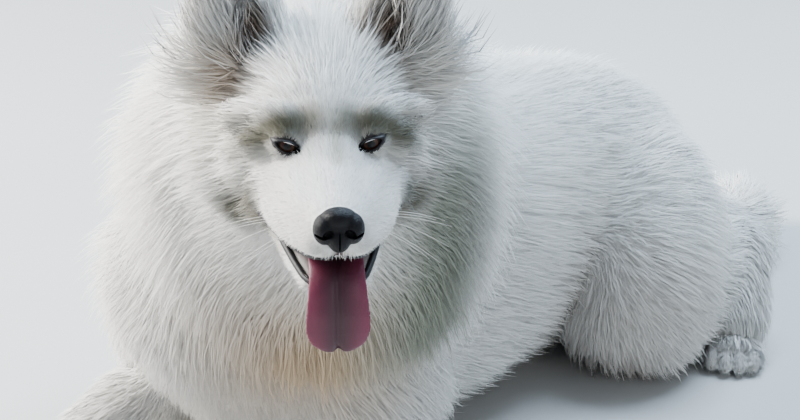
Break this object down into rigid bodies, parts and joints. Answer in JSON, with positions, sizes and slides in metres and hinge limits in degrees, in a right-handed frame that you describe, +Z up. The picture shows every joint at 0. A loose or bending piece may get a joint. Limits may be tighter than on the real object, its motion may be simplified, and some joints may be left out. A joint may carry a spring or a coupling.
{
  "type": "lying samoyed dog, life-size still model",
  "caption": "Life-size white spitz dog with a long coat, lying on its chest, head turned to its left, mouth open and tongue out.",
  "frame": {"origin": "on the floor under the withers, on the flat underside of the torso", "axes": "+Y along the trunk from the withers to the rump, +X to the dog's left, +Z up"},
  "size_m": [0.5637, 1.1793, 0.551],
  "materials": {
    "coat": "long white to cream double coat, soft and matt",
    "skin": "black to pink bare skin of lids, lips and ears, satin",
    "nose": "black, moist, soft gloss",
    "tongue": "rose pink, moist",
    "eye": "dark brown, wet and glossy",
    "claw": "pale horn, satin"
  },
  "bodies": {
    "root": {"head": "coat", "lower_jaw": "coat", "tongue": "tongue", "nose": "nose", "eye_left": "eye", "eye_right": "eye", "ear_left": "coat", "ear_right": "coat", "forepaw_left": "coat", "forepaw_right": "coat", "hind_paw_left": "coat", "hind_paw_right": "coat", "forearm_left": "coat", "forearm_right": "coat", "upper_arm_left": "coat", "upper_arm_right": "coat", "hind_foot_left": "coat", "hind_foot_right": "coat", "shank_left": "coat", "shank_right": "coat", "thigh_left": "coat", "thigh_right": "coat", "tail": "coat", "neck": "coat", "torso": "coat"}
  },
  "joints": []
}
